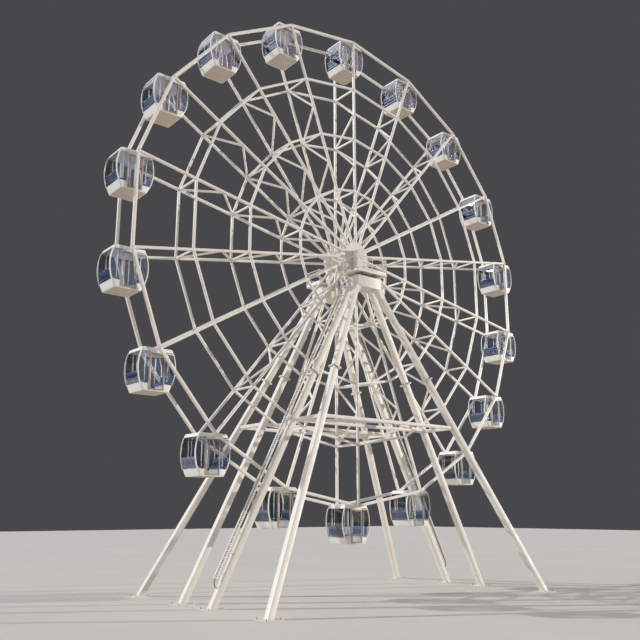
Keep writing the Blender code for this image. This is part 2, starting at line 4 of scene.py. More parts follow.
import bpy
import bmesh
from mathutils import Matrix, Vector

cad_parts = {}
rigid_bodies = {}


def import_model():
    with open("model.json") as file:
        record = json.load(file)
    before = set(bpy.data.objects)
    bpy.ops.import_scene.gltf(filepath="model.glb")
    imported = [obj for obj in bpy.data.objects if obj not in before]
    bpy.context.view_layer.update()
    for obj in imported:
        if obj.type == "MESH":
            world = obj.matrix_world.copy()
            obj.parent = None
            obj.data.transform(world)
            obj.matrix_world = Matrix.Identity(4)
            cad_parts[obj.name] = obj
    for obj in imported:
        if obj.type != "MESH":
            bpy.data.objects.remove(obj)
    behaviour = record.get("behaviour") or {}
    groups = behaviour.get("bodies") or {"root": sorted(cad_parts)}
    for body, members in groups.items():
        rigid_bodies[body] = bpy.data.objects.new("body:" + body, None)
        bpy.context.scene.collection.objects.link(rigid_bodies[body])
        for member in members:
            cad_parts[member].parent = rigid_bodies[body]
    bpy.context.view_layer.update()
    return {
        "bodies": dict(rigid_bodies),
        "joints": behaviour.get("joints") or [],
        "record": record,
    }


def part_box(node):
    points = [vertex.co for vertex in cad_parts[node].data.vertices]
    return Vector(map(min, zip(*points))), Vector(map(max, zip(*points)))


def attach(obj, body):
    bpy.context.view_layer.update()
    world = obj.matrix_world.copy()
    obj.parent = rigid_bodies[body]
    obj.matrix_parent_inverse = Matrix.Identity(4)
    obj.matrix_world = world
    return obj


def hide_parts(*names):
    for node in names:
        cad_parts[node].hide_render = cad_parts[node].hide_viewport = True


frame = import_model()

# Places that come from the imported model
JOINTS = {joint["name"]: Vector(joint["pos_m"]) for joint in frame["joints"] if "pos_m" in joint}
MOUNTS = {mount["name"]: Vector(mount["pos_m"]) for mount in frame["record"]["mounts"]}
HUB = JOINTS["wheel_spin"]
CABINS = sorted(name for name in frame["bodies"] if name.startswith("cabin_") and not name.endswith("door"))
PINS = {name: JOINTS[f"{name}_pivot"] for name in CABINS}
SPOKES = len(CABINS)
HALF_CELL = pi / SPOKES
RIM_RADIUS = (PINS[CABINS[0]] - HUB).length

# Wheel
RING_RADII = (9.915, 6.849, 3.751)
HUB_DISC_RADIUS = 0.8
FRAME_OFFSET = 0.82               # middle plane of each wheel frame, either side of Y = 0
FRAME_THICKNESS = 0.13
RIM_WIDTH = 0.14
RING_WIDTH = 0.11
SPOKE_WIDTH = 0.12
SPOKE_JOINT_RADIUS = 8.4
BRACE_WIDTH = 0.09
SHAFT_RADIUS = 0.16
SHAFT_HALF_LENGTH = 1.26
DRUM_RADIUS = 0.42
SLEEVE_RADIUS = 0.5

# Towers
LEG_SECTION = 0.285
OUTER_MEETING_Y = 1.3
INNER_MEETING_Y = 1.2
LEG_MEETING_Z = 16.55
LEG_TOP_Z = 14.9
FOOT_PLATE = 0.82
FOOT_PLATE_THICKNESS = 0.03
FLANGE_SIZE = 0.45
FLANGE_THICKNESS = 0.07
FLANGE_Z = 10.47
TIE_Z = 8.06
TIE_SECTION = 0.16
TIE_BRACE_SECTION = 0.13
HOUSING_SHOULDER_Z = 17.12
HOUSING_TOP_HALF_WIDTH = 0.14
PLATFORM_DEPTH = 0.11
RAILING_BAR = 0.04
LADDER_START = 1.14
LADDER_END = 17.4
LADDER_OFFSET = 0.42
LADDER_HALF_WIDTH = 0.16
STILE_WIDTH = 0.03
RUNG_RADIUS = 0.015
RUNG_PITCH = 0.3
OUTER_STILE_WIDTH = 0.085
OUTER_STILE_OFFSET = 0.1175
TRAY_PITCH = 0.1
TRAY_TOP_Z = 14.3
CABLE_RADIUS = 0.012

# Cabins, from the pin's axis
CABIN_HALF_DEPTH = 0.65
CABIN_TOP = 0.05
CABIN_BAND = -0.13
CABIN_SKIRT = -1.5
CABIN_BOTTOM = -1.82
CABIN_BOTTOM_HALF_WIDTH = 0.605
BELLY_HALF_WIDTH = 0.9
BELLY_Z = -0.8
BELLY_RADIUS = 1.87
CABIN_WALL = 0.04
PLAN_RADIUS = 0.07                # rounded upright edges of a cabin
POST = 0.055
PIN_RADIUS = 0.035
DOOR_HALF_WIDTH = 0.345
DOORWAY_HALF_WIDTH = 0.31
DOOR_BOTTOM = -1.77
DOOR_TOP = -0.215
DOOR_INNER_Y = 0.6503
DOOR_THICKNESS = 0.035
STILE = 0.058
BENCH_FRONT = 0.42
BENCH_TOP = -1.36
BENCH_HALF_LENGTH = 0.55
BACKREST_FRONT = 0.74
BACKREST_LOW = -1.12
BACKREST_HIGH = -0.98
BACKREST_LEAN = 0.12
GLASS = 0.006

SMOOTH_BELOW = 32                 # degrees between two faces that look like one
GROUND_REACH = 140

TOWERS = {-1: "front", 1: "back"}
SIDES = {-1: "left", 1: "right"}
X, Y, Z = Vector((1, 0, 0)), Vector((0, 1, 0)), Vector((0, 0, 1))


# Materials

class Graph:
    """A tree of nodes, made and linked in short calls."""

    def __init__(self, owner, space="Object"):
        owner.use_nodes = True
        self.owner = owner
        self.tree = owner.node_tree
        self.tree.nodes.clear()
        self.place = self.node("ShaderNodeTexCoord").outputs[space]

    def node(self, kind, inputs=(), **values):
        """A node with values for its properties, and for its inputs by their names or numbers."""
        made = self.tree.nodes.new(kind)
        for key, value in values.items():
            setattr(made, key, value)
        for key, value in dict(inputs).items():
            self.set(made.inputs[key], value)
        return made

    def set(self, socket, value):
        """Links a socket or sets its value. A tuple is a colour of red, green and blue."""
        if isinstance(value, bpy.types.NodeSocket):
            self.tree.links.new(value, socket)
        else:
            socket.default_value = (*value, 1.0) if isinstance(value, tuple) else value

    def noise(self, scale, detail=3.0, stretch=(1, 1, 1)):
        place = self.node("ShaderNodeMapping", {"Vector": self.place, "Scale": Vector(stretch)})
        values = {"Vector": place.outputs["Vector"], "Scale": scale, "Detail": detail}
        return self.node("ShaderNodeTexNoise", values).outputs["Fac"]

    def span(self, value, low, high, to_low=0.0, to_high=1.0, **values):
        made = self.node("ShaderNodeMapRange", enumerate((value, low, high, to_low, to_high)), **values)
        return made.outputs["Result"]

    def mix(self, amount, first, second):
        values = {"Factor": amount, 6: first, 7: second}
        return self.node("ShaderNodeMix", values, data_type="RGBA").outputs[2]

    def bump(self, height, strength, distance):
        values = {"Height": height, "Strength": strength, "Distance": distance}
        return self.node("ShaderNodeBump", values).outputs["Normal"]

    def principled(self, **values):
        values = {key.replace("_", " "): value for key, value in values.items()}
        return self.node("ShaderNodeBsdfPrincipled", values).outputs["BSDF"]

    def finish(self, shader, output="ShaderNodeOutputMaterial"):
        self.set(self.node(output).inputs["Surface"], shader)
        return self.owner


def look_graph(slot):
    return Graph(bpy.data.materials.new(f"{slot}_look"))


def paint(slot, colour, worn, dirt, roughness, streaks, coat=0.0):
    """Paint with faint clouding, rain streaks and a fine grain."""
    graph = look_graph(slot)
    clouds = graph.span(graph.noise(0.7, 4.0), 0.35, 0.7)
    body = graph.mix(clouds, colour, worn)
    runs = graph.span(graph.noise(2.2, 5.0, (4, 4, 0.35)), 0.52, 0.72, 0.0, streaks)
    specks = graph.span(graph.noise(26.0, 2.0), 0.66, 0.74, 0.0, streaks)
    body = graph.mix(runs, body, dirt)
    body = graph.mix(specks, body, dirt)
    shine = graph.span(graph.noise(3.0), 0.3, 0.7, roughness - 0.06, roughness + 0.1)
    normal = graph.bump(graph.noise(70.0, 2.0), 0.06, 0.002)
    return graph.finish(graph.principled(Base_Color=body, Roughness=shine, Coat_Weight=coat, Normal=normal))


def plastic(slot, colour, deep, roughness, grain=0.05):
    graph = look_graph(slot)
    body = graph.mix(graph.span(graph.noise(5.0), 0.3, 0.7), colour, deep)
    shine = graph.span(graph.noise(9.0), 0.3, 0.7, roughness - 0.05, roughness + 0.08)
    normal = graph.bump(graph.noise(160.0, 1.0), grain, 0.001)
    return graph.finish(graph.principled(Base_Color=body, Roughness=shine, Normal=normal))


def window_glass(slot):
    """Grey glass that lets lamp light through to the seats."""
    graph = look_graph(slot)
    tint = graph.mix(graph.span(graph.noise(1.3), 0.3, 0.7), (0.79, 0.80, 0.83), (0.75, 0.76, 0.80))
    shine = graph.span(graph.noise(2.5), 0.3, 0.7, 0.0, 0.01)
    solid = graph.principled(Base_Color=tint, Roughness=shine, IOR=1.6, Transmission_Weight=1.0)
    clear = graph.node("ShaderNodeBsdfTransparent", {"Color": (0.85, 0.86, 0.89)}).outputs["BSDF"]
    shadow = graph.node("ShaderNodeLightPath").outputs["Is Shadow Ray"]
    return graph.finish(graph.node("ShaderNodeMixShader", {0: shadow, 1: solid, 2: clear}).outputs["Shader"])


def galvanised(slot):
    graph = look_graph(slot)
    spangle = graph.node("ShaderNodeTexVoronoi", {"Vector": graph.place, "Scale": 60.0}).outputs["Distance"]
    body = graph.mix(spangle, (0.5, 0.49, 0.46), (0.38, 0.37, 0.36))
    shine = graph.span(graph.noise(30.0), 0.3, 0.7, 0.32, 0.5)
    return graph.finish(graph.principled(Base_Color=body, Roughness=shine, Metallic=0.9))


def concrete(slot):
    graph = look_graph(slot)
    body = graph.mix(graph.span(graph.noise(0.15, 5.0), 0.3, 0.7), (0.64, 0.605, 0.55), (0.60, 0.57, 0.515))
    return graph.finish(graph.principled(Base_Color=body, Roughness=0.85))


# each slot's kind of look and what that takes: colours, roughness, then streaks and coat, or grain
LOOKS = {slot: kind(slot, *values) for slot, kind, *values in (
    ("tower_paint", paint, (0.79, 0.755, 0.68), (0.755, 0.715, 0.64), (0.46, 0.40, 0.33), 0.45, 0.16),
    ("wheel_paint", paint, (0.82, 0.79, 0.72), (0.79, 0.755, 0.685), (0.52, 0.46, 0.39), 0.42, 0.08),
    ("bearing_paint", paint, (0.77, 0.735, 0.67), (0.70, 0.665, 0.60), (0.30, 0.25, 0.20), 0.4, 0.3),
    ("cabin_shell", paint, (0.86, 0.85, 0.80), (0.83, 0.815, 0.76), (0.55, 0.5, 0.42), 0.4, 0.12, 0.1),
    ("cabin_floor", paint, (0.615, 0.54, 0.43), (0.565, 0.49, 0.385), (0.25, 0.21, 0.17), 0.6, 0.2),
    ("cabin_glass", window_glass),
    ("door_frame", paint, (0.46, 0.345, 0.245), (0.41, 0.30, 0.21), (0.16, 0.11, 0.08), 0.38, 0.2),
    ("seal", plastic, (0.03, 0.03, 0.035), (0.045, 0.045, 0.05), 0.65, 0.1),
    ("seat", plastic, (0.055, 0.165, 0.34), (0.04, 0.125, 0.28), 0.35),
    # a darker navy copy of the seat's blue: painted shade for the moulded backs below the backrest band
    ("seat_back", plastic, (0.012, 0.03, 0.085), (0.01, 0.022, 0.065), 0.4),
    ("white_trim", paint, (0.85, 0.84, 0.8), (0.8, 0.79, 0.75), (0.5, 0.46, 0.4), 0.3, 0.1),
    ("bolt_steel", galvanised),
    ("cable", plastic, (0.08, 0.08, 0.085), (0.11, 0.11, 0.115), 0.5),
    ("ground", concrete),
)}


# Shapes

def rounded_rectangle(width, depth, radius, steps=3):
    """Points of a rounded rectangle round its middle, counterclockwise."""
    points = []
    for turn, (sx, sy) in enumerate(((1, 1), (-1, 1), (-1, -1), (1, -1))):
        cx, cy = sx * (width / 2 - radius), sy * (depth / 2 - radius)
        for i in range(steps + 1):
            angle = (turn + i / steps) * pi / 2
            points.append((cx + radius * cos(angle), cy + radius * sin(angle)))
    return points


def circle(radius, sides, phase=0.0):
    return [(radius * cos(phase + 2 * pi * i / sides), radius * sin(phase + 2 * pi * i / sides))
            for i in range(sides)]


def evenly(low, high, count):
    """Values from low to high in count like steps."""
    return [low + (high - low) * i / count for i in range(count + 1)]


def ring_profile(inner, outer, half):
    """A ring's section for turning, with its outer edges bevelled."""
    edge = [(outer - 0.01, half), (outer, half - 0.01)]
    return [(inner, -half)] + [(r, -d) for r, d in edge] + edge[::-1] + [(inner, half)]


def inset(outline, distance):
    """A convex counterclockwise outline, moved in by distance."""
    points = [Vector(point) for point in outline]
    moved = []
    for i, point in enumerate(points):
        before = (point - points[i - 1]).normalized()
        after = (points[(i + 1) % len(points)] - point).normalized()
        normal = Vector((-before.y - after.y, before.x + after.x)).normalized()
        share = max(0.3, Vector((-before.y, before.x)).dot(normal))
        moved.append(tuple(point + normal * distance / share))
    return moved


def crosswise(along, across):
    """Two directions square to along, the first as near to across as that allows."""
    x = (across - along * along.dot(across)).normalized()
    return x, along.cross(x)


class Shape:
    """The points and faces of one piece."""

    def __init__(self):
        self.points = []
        self.faces = []

    def loft(self, loops, closed=False):
        """A skin over loops with the same number of points, capped unless closed."""
        start, count, rows = len(self.points), len(loops[0]), len(loops)
        for loop in loops:
            self.points.extend(Vector(point) for point in loop)
        for row in range(rows if closed else rows - 1):
            a, b = start + row * count, start + (row + 1) % rows * count
            for i in range(count):
                j = (i + 1) % count
                self.faces.append((a + i, a + j, b + j, b + i))
        if not closed:
            last = start + (rows - 1) * count
            self.faces.append(tuple(range(start + count - 1, start - 1, -1)))
            self.faces.append(tuple(range(last, last + count)))

    def bar(self, start, end, width, depth, across, radius, steps=3):
        """A rounded box section. Its width runs along across."""
        start, end = Vector(start), Vector(end)
        along = (end - start).normalized()
        x, y = crosswise(along, across)
        bevel = radius * 0.5
        full = rounded_rectangle(width, depth, radius, steps)
        small = rounded_rectangle(width - 2 * bevel, depth - 2 * bevel, radius - bevel, steps)
        rows = ((small, start), (full, start + along * bevel), (full, end - along * bevel), (small, end))
        self.loft([[at + x * px + y * py for px, py in outline] for outline, at in rows])

    def box(self, low, high, radius=0.006, steps=2):
        low, high = Vector(low), Vector(high)
        x, y = ((low + high) / 2).xy
        self.bar((x, y, low.z), (x, y, high.z), high.x - low.x, high.y - low.y, X, radius, steps)

    def slab(self, outline, thickness, origin, u, v, bevel):
        """A convex outline in the plane of u and v, thickened both ways from origin."""
        w = u.cross(v)
        half = thickness / 2
        small = inset(outline, bevel)
        rows = ((small, -half), (outline, -half + bevel), (outline, half - bevel), (small, half))
        self.loft([[origin + u * px + v * py + w * lift for px, py in loop] for loop, lift in rows])

    def tube(self, points, radius, sides, closed=False):
        """A round tube along a path."""
        points = [Vector(point) for point in points]
        count = len(points)
        loops = []
        normal = None
        for i, point in enumerate(points):
            before = points[i - 1] if closed or i else points[0]
            after = points[(i + 1) % count] if closed or i < count - 1 else points[-1]
            along = (after - before).normalized()
            if normal is None:
                normal = along.cross(Z if abs(along.z) < 0.9 else X)
            normal, other = crosswise(along, normal)
            loops.append([point + normal * px + other * py for px, py in circle(radius, sides)])
        self.loft(loops, closed)

    def turned(self, profile, centre, axis, sides, closed=False):
        """A profile of (radius, distance along axis), turned about the axis through centre."""
        u = axis.cross(X if abs(axis.x) < 0.9 else Z).normalized()
        v = axis.cross(u)
        centre = Vector(centre)
        ways = [u * c + v * s for c, s in circle(1.0, sides)]
        if closed:
            loops = [[centre + way * r + axis * d for r, d in profile] for way in ways]
        else:
            loops = [[centre + way * r + axis * d for way in ways] for r, d in profile]
        self.loft(loops, closed)

    def bolt(self, at, axis, size, stub=0.0):
        """A washer and a hexagon head whose flats are size apart, with a threaded end for a nut."""
        head = 1 / sqrt(3)
        rounds = [([(0.85, 0.0), (0.9, 0.05), (0.85, 0.14)], 12),
                  ([(head, 0.14), (head, 0.7), (head * 0.86, 0.8)], 6)]
        if stub:
            rounds.append(([(0.3, 0.8), (0.3, stub / size), (0.22, stub / size + 0.08)], 10))
        for profile, sides in rounds:
            self.turned([(r * size, d * size) for r, d in profile], at, axis, sides)

    def weld(self, start, along, width, depth, across, bead=0.008):
        """A bead round a box section where it meets a plate."""
        x, y = crosswise(along, across)
        path = [start + x * px + y * py for px, py in rounded_rectangle(width, depth, 0.02, 2)]
        self.tube(path, bead, 6, closed=True)

    def mesh(self, name, slot):
        mesh = bpy.data.meshes.new(name)
        mesh.from_pydata([tuple(point) for point in self.points], [], self.faces)
        bm = bmesh.new()
        bm.from_mesh(mesh)
        bmesh.ops.recalc_face_normals(bm, faces=bm.faces[:])
        bm.to_mesh(mesh)
        bm.free()
        mesh.shade_smooth()
        mesh.set_sharp_from_angle(angle=radians(SMOOTH_BELOW))
        mesh.materials.append(LOOKS[slot])
        return mesh


def piece(name, mesh, body, slot, replaces=(), at=None):
    """Puts a mesh in the scene as a piece of the object. A Shape is made a mesh first."""
    if isinstance(mesh, Shape):
        mesh = mesh.mesh(name, slot)
    made = bpy.data.objects.new(name, mesh)
    bpy.context.scene.collection.objects.link(made)
    if at is not None:
        made.location = at
    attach(made, body)
    if replaces:
        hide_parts(*replaces)


# Towers

def leg_ends(side, tower, outer):
    foot = MOUNTS[f"{TOWERS[tower]}_{SIDES[side]}_{'outer' if outer else 'inner'}_foot"]
    return foot, Vector((0, tower * (OUTER_MEETING_Y if outer else INNER_MEETING_Y), LEG_MEETING_Z))


def leg_point(side, tower, outer, height):
    foot, head = leg_ends(side, tower, outer)
    return foot.lerp(head, height / LEG_MEETING_Z)


def leg_axes(side, tower, outer):
    """The foot of a leg, the way up it, and its two directions across."""
    foot, head = leg_ends(side, tower, outer)
    along = (head - foot).normalized()
    return foot, along, *crosswise(along, Y)


def leg_loop(side, tower, outer, height, level):
    """The leg's section at a height, cut level or square."""
    along, x, y = leg_axes(side, tower, outer)[1:]
    middle = leg_point(side, tower, outer, height)
    loop = [middle + x * px + y * py for px, py in rounded_rectangle(LEG_SECTION, LEG_SECTION, 0.022)]
    return [point + along * ((height - point.z) / along.z) for point in loop] if level else loop


def make_leg(side, tower, outer, bolts):
    name = f"{TOWERS[tower]}_{SIDES[side]}_{'outer' if outer else 'inner'}_leg"
    foot, along, x, y = leg_axes(side, tower, outer)
    leg = Shape()
    leg.loft([leg_loop(side, tower, outer, FOOT_PLATE_THICKNESS / 2, True),
              leg_loop(side, tower, outer, LEG_TOP_Z, False)])
    half = FOOT_PLATE / 2
    leg.box(foot - Vector((half, half, 0)), foot + Vector((half, half, FOOT_PLATE_THICKNESS)), 0.012, 3)
    # a weld round the leg on its plate
    leg.tube(leg_loop(side, tower, outer, FOOT_PLATE_THICKNESS + 0.003, True), 0.009, 6, closed=True)
    middle = leg_point(side, tower, outer, FLANGE_Z)
    plate = FLANGE_THICKNESS / 2 - 0.002
    spread = FLANGE_SIZE / 2 - 0.042
    for way in (-1, 1):
        out = along * way
        leg.bar(middle + out * 0.002, middle + out * (plate + 0.002), FLANGE_SIZE, FLANGE_SIZE, Y, 0.006)
        leg.weld(middle + out * (plate + 0.006), along, LEG_SECTION, LEG_SECTION, Y)
        for i in (-1, 0, 1):
            for j in (-1, 0, 1):
                if i or j:
                    at = middle + out * (plate + 0.001) + (x * i + y * j) * spread
                    bolts.bolt(at, out, 0.036, 0.05 if way > 0 else 0.0)
    for height in (TIE_Z - 0.5, LEG_TOP_Z - 0.004):
        leg.weld(leg_point(side, tower, outer, height), along, LEG_SECTION, LEG_SECTION, Y, 0.005)
    for i in (-1, 1):
        for j in (-1, 1):
            corner = foot + Vector((i, j, 0)) * (half - 0.09) + Z * FOOT_PLATE_THICKNESS
            bolts.bolt(corner, Z, 0.046, 0.075)
    piece(f"{name}_tube", leg, "towers", "tower_paint", [name])


def make_ties(tower):
    corners = {(side, outer): leg_point(side, tower, outer, TIE_Z)
               for side in (-1, 1) for outer in (False, True)}

    def tie(start, end):
        """A tube between two legs, with a plate at each end."""
        shape = Shape()
        along = (end - start).normalized()
        start, end = (at + along * way * (LEG_SECTION / 2 - 0.02) for at, way in ((start, 1), (end, -1)))
        shape.bar(start, end, TIE_SECTION, TIE_SECTION, Z, 0.016)
        for at, way in ((start, 0.035), (end, -0.035)):
            shape.bar(at, at + along * way, TIE_SECTION + 0.07, TIE_SECTION + 0.07, Z, 0.006)
        return shape

    def done(name, shape):
        name = f"{TOWERS[tower]}_{name}_tie"
        piece(f"{name}_tube", shape, "towers", "tower_paint", [name])

    done("inner", tie(corners[-1, False], corners[1, False]))
    outer = tie(corners[-1, True], corners[1, True])
    middle = (corners[-1, True] + corners[1, True]) / 2
    for side in (-1, 1):
        start = corners[side, False]
        toward = (middle - start).normalized()
        outer.bar(start + toward * 0.15, middle, TIE_BRACE_SECTION, TIE_BRACE_SECTION, Z, 0.014)
    outer.box(middle - Vector((0.28, 0.1, TIE_BRACE_SECTION / 2 + 0.012)),
              middle + Vector((0.28, 0.1, -TIE_BRACE_SECTION / 2 + 0.002)), 0.006)
    done("outer", outer)
    for side in (-1, 1):
        done(f"{SIDES[side]}_side", tie(corners[side, False], corners[side, True]))


def turn_about_middle(shape, tower):
    """Pieces on top of a tower are written for the front one. The back one's are turned half a turn."""
    if tower > 0:
        shape.points = [Vector((-point.x, -point.y, point.z)) for point in shape.points]


def make_head(tower):
    """A welded box on the tops of the legs, with a neck that carries the platform."""
    prefix = TOWERS[tower]
    head = Shape()
    box_low, box_high = Vector((-0.8, -1.9, 15.12)), Vector((0.8, -1.0, 15.7))
    head.box(box_low, box_high, 0.02, 3)
    head.box((-0.7, -1.6, box_high.z - 0.01), (0.7, -1.05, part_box("front_service_platform")[0].z), 0.012)
    # gussets run down from the box's outer face and end flush with the outer legs
    for side in (-1, 1):
        loops = []
        for z in (box_low.z + 0.05, LEG_TOP_Z, LEG_TOP_Z - 0.22):
            leg, reach = leg_point(side, -1, True, z), LEG_SECTION / 2 + 0.02
            ends = ((-reach, box_low.y), (reach, box_low.y), (reach, leg.y), (-reach, leg.y))
            loops.append([(leg.x + x, y, z) for x, y in ends])
        head.loft(loops)
    turn_about_middle(head, tower)
    for side in (-1, 1):
        for outer in (True, False):
            head.loft([leg_loop(side, tower, outer, LEG_TOP_Z, False),
                       leg_loop(side, tower, outer, box_low.z + 0.1, True)])
    piece(f"{prefix}_tower_head_box", head, "towers", "tower_paint", [f"{prefix}_tower_head"])


def make_platform(tower):
    prefix = TOWERS[tower]
    low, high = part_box("front_service_platform")
    floor_z, top = low.z + PLATFORM_DEPTH, high.z
    deck = Shape()
    beam, middle_z = 0.05, low.z + PLATFORM_DEPTH / 2
    for y in (low.y + beam / 2, high.y - beam / 2):
        deck.bar((low.x, y, middle_z), (high.x, y, middle_z), PLATFORM_DEPTH, beam, Z, 0.006)
    for x in (low.x + beam / 2, high.x - beam / 2):
        deck.bar((x, low.y + 0.01, middle_z), (x, high.y - 0.01, middle_z), PLATFORM_DEPTH - 0.004, beam,
                 Z, 0.006)
    # floor plate, cross beams under it, and cover plates that leave two bays open in front
    deck.box((low.x + 0.02, low.y + 0.02, floor_z - 0.022),
             (high.x - 0.02, high.y - 0.02, floor_z - 0.01), 0.003)
    for x in (-0.72, -0.3, -0.06, 0.1, 0.5, 0.72):
        deck.box((x - 0.02, low.y + 0.03, low.z + 0.004), (x + 0.02, high.y - 0.03, floor_z - 0.015), 0.003)
    for start, end in ((low.x + 0.03, -0.72), (0.72, high.x - 0.03), (-0.06, 0.1)):
        deck.box((start, low.y + 0.03, low.z + 0.004), (end, high.y - 0.03, low.z + 0.012), 0.002)
    # tread bars
    for x in evenly(low.x + 0.06, high.x - 0.06, 47):
        deck.box((x - 0.004, low.y + 0.05, floor_z - 0.012), (x + 0.004, high.y - 0.05, floor_z), 0.002, 1)
    half = RAILING_BAR / 2
    near, far = low.x + half, high.x - half
    out, back = low.y + half, high.y - half
    rail_z, mid_z = top - half, (floor_z + top) / 2
    for x, y in ((near, back), (near, out), ((near + far) / 2, out), (far, out), (far, back)):
        deck.tube([(x, y, floor_z - 0.03), (x, y, rail_z)], half, 12)
        deck.box((x - 0.04, y - 0.035, floor_z - 0.002), (x + 0.04, y + 0.035, floor_z + 0.008), 0.003)
    bend = 0.05

    def corner(x, y, dx, dy, z):
        """A bent tube corner, from the X side round to the Y side."""
        middle = Vector((x + dx * bend, y + dy * bend, z))
        return [middle + Vector((-dx * bend * sin(t), -dy * bend * cos(t), 0))
                for t in (i * pi / 8 for i in range(5))]

    rail = [(near, back, rail_z)] + corner(near, out, 1, 1, rail_z)[::-1]
    rail += corner(far, out, -1, 1, rail_z) + [(far, back, rail_z)]
    deck.tube(rail, half, 12)
    deck.tube([(near, out, mid_z)] + corner(far, out, -1, 1, mid_z) + [(far, back, mid_z)], half * 0.8, 10)
    deck.box((near, out - 0.004, floor_z), (far, out + 0.004, floor_z + 0.1), 0.002)
    deck.box((far - 0.004, out, floor_z), (far + 0.004, back, floor_z + 0.1), 0.002)
    plug = [(half * 0.6, -half - 0.004), (half * 1.04, -half), (half * 1.04, half),
            (half * 0.6, half + 0.004)]
    for x in (near, far):
        deck.turned(plug, (x, back, rail_z), Z, 12)
    turn_about_middle(deck, tower)
    piece(f"{prefix}_platform_deck", deck, "towers", "tower_paint", [f"{prefix}_service_platform"])


def make_housing(tower, bolts):
    prefix = TOWERS[tower]
    low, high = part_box("front_bearing_housing")
    half = high.x
    housing = Shape()
    depth = high.y - low.y
    origin = Vector((0, (low.y + high.y) / 2, 0))
    top_half, shoulder = HOUSING_TOP_HALF_WIDTH, HOUSING_SHOULDER_Z
    right = [(half, low.z), (half, shoulder - 0.04), (half - 0.012, shoulder + 0.01),
             (top_half + 0.05, high.z - 0.05), (top_half, high.z - 0.008), (top_half - 0.05, high.z)]
    outline = [(-half, low.z)] + right + [(-x, z) for x, z in right[:0:-1]]
    housing.slab(outline, depth, origin, X, Z, 0.014)
    # base flange, and the bearing's cover
    housing.box((-half - 0.1, low.y, low.z), (half + 0.1, high.y, low.z + 0.03), 0.008)
    cover = [(0.225, -0.01), (0.225, 0.009), (0.22, 0.012), (0.19, 0.012), (0.186, 0.008), (0.166, 0.008)]
    for way, face in ((-1, low.y), (1, high.y)):
        housing.turned(cover, (0, face, HUB.z), Y * way, 36)
    turn_about_middle(housing, tower)
    piece(f"{prefix}_housing_shell", housing, "towers", "bearing_paint", [f"{prefix}_bearing_housing"])
    screws = Shape()
    for px, pz in circle(0.206, 8, pi / 8):
        screws.bolt((px, low.y - 0.011, HUB.z + pz), -Y, 0.017)
    for x in (-half - 0.055, half + 0.055):
        for y in (low.y + 0.07, high.y - 0.07):
            screws.bolt((x, y, low.z + 0.029), Z, 0.034, 0.045)
    turn_about_middle(screws, tower)
    bolts.points, start = bolts.points + screws.points, len(bolts.points)
    bolts.faces += [tuple(start + i for i in face) for face in screws.faces]


def make_ladder(tower):
    """Stiles, round rungs and stand-off brackets, with a cable tray along the broader outer stile."""
    prefix = TOWERS[tower]
    foot, along, across, away = leg_axes(tower, tower, False)
    away = away if away.x * tower > 0 else -away
    middle = foot + away * LADDER_OFFSET
    ladder = Shape()
    stile = LADDER_HALF_WIDTH - STILE_WIDTH / 2
    outward = -across * tower
    for offset, width, depth in ((OUTER_STILE_OFFSET, OUTER_STILE_WIDTH, 0.05),
                                 (-stile, STILE_WIDTH, STILE_WIDTH)):
        rail = middle + outward * offset
        ladder.bar(rail + along * LADDER_START, rail + along * LADDER_END, width, depth, across, 0.008)
    count = round((LADDER_END - LADDER_START) / RUNG_PITCH)
    for i, distance in enumerate(evenly(LADDER_START + 0.015, LADDER_END - 0.015, count)):
        at = middle + along * distance
        ladder.tube([at - across * stile, at + across * stile], RUNG_RADIUS, 10)
        if i % 3 == 1:
            wall = at - away * (LADDER_OFFSET - LEG_SECTION / 2)
            reach = across * (stile - 0.01)
            ladder.bar(at - reach, at + reach, 0.05, 0.012, away, 0.003)
            ladder.bar(wall - away * 0.005, at, 0.05, 0.012, across, 0.003)
            ladder.bar(wall - away * 0.002, wall + away * 0.01, 0.1, 0.09, across, 0.004)
    piece(f"{prefix}_ladder_rails", ladder, "towers", "tower_paint", [f"{prefix}_ladder"])

    # the open tray lies on the rungs' leg side, and two cables run on it and into the leg at both ends
    tray = Shape()
    near, far = 0.078, -0.045
    top = TRAY_TOP_Z / along.z
    count = round((top - LADDER_START) / TRAY_PITCH)
    for i in range(count):
        at = middle - away * 0.02 + along * (LADDER_START + (i + 0.5) * (top - LADDER_START) / count)
        tray.bar(at + outward * near, at + outward * far, 0.042, 0.008, along, 0.002, 1)
    flange = middle - away * 0.024 + outward * far
    tray.bar(flange + along * LADDER_START, flange + along * top, 0.008, 0.03, across, 0.002, 1)
    piece(f"{prefix}_cable_tray", tray, "towers", "tower_paint")

    def bend(start, corner, end):
        return [start.lerp(corner, t).lerp(corner.lerp(end, t), t) for t in evenly(0.0, 1.0, 6)]

    cables = Shape()
    for offset in (0.042, 0.068):
        run = middle - away * 0.039 + outward * offset
        wall = foot + away * (LEG_SECTION / 2 - 0.01) + outward * offset
        low, high = along * (LADDER_START - 0.3), along * (top + 0.3)
        path = bend(wall + low, run + low, run + along * LADDER_START)
        path += bend(run + along * top, run + high, wall + high)
        cables.tube(path, CABLE_RADIUS, 8)
    piece(f"{prefix}_tray_cables", cables, "towers", "cable")


def make_towers():
    bolts = Shape()
    for tower in TOWERS:
        for side in SIDES:
            for outer in (True, False):
                make_leg(side, tower, outer, bolts)
        make_ties(tower)
        make_head(tower)
        make_platform(tower)
        make_housing(tower, bolts)
        make_ladder(tower)
    piece("tower_bolts", bolts, "towers", "bolt_steel")


# Wheel

def spoke_way(number):
    angle = pi / 2 + number * 2 * HALF_CELL
    return Vector((cos(angle), 0, sin(angle)))


def polygon_tube(shape, radius, width, thickness, offset):
    """A tube bent round the wheel with a mitred corner at each spoke."""
    section = rounded_rectangle(width, thickness, 0.02)
    loops = []
    for number in range(SPOKES):
        out = spoke_way(number)
        loops.append([HUB + out * (radius + px / cos(HALF_CELL)) + Y * (offset + py) for px, py in section])
    shape.loft(loops, closed=True)


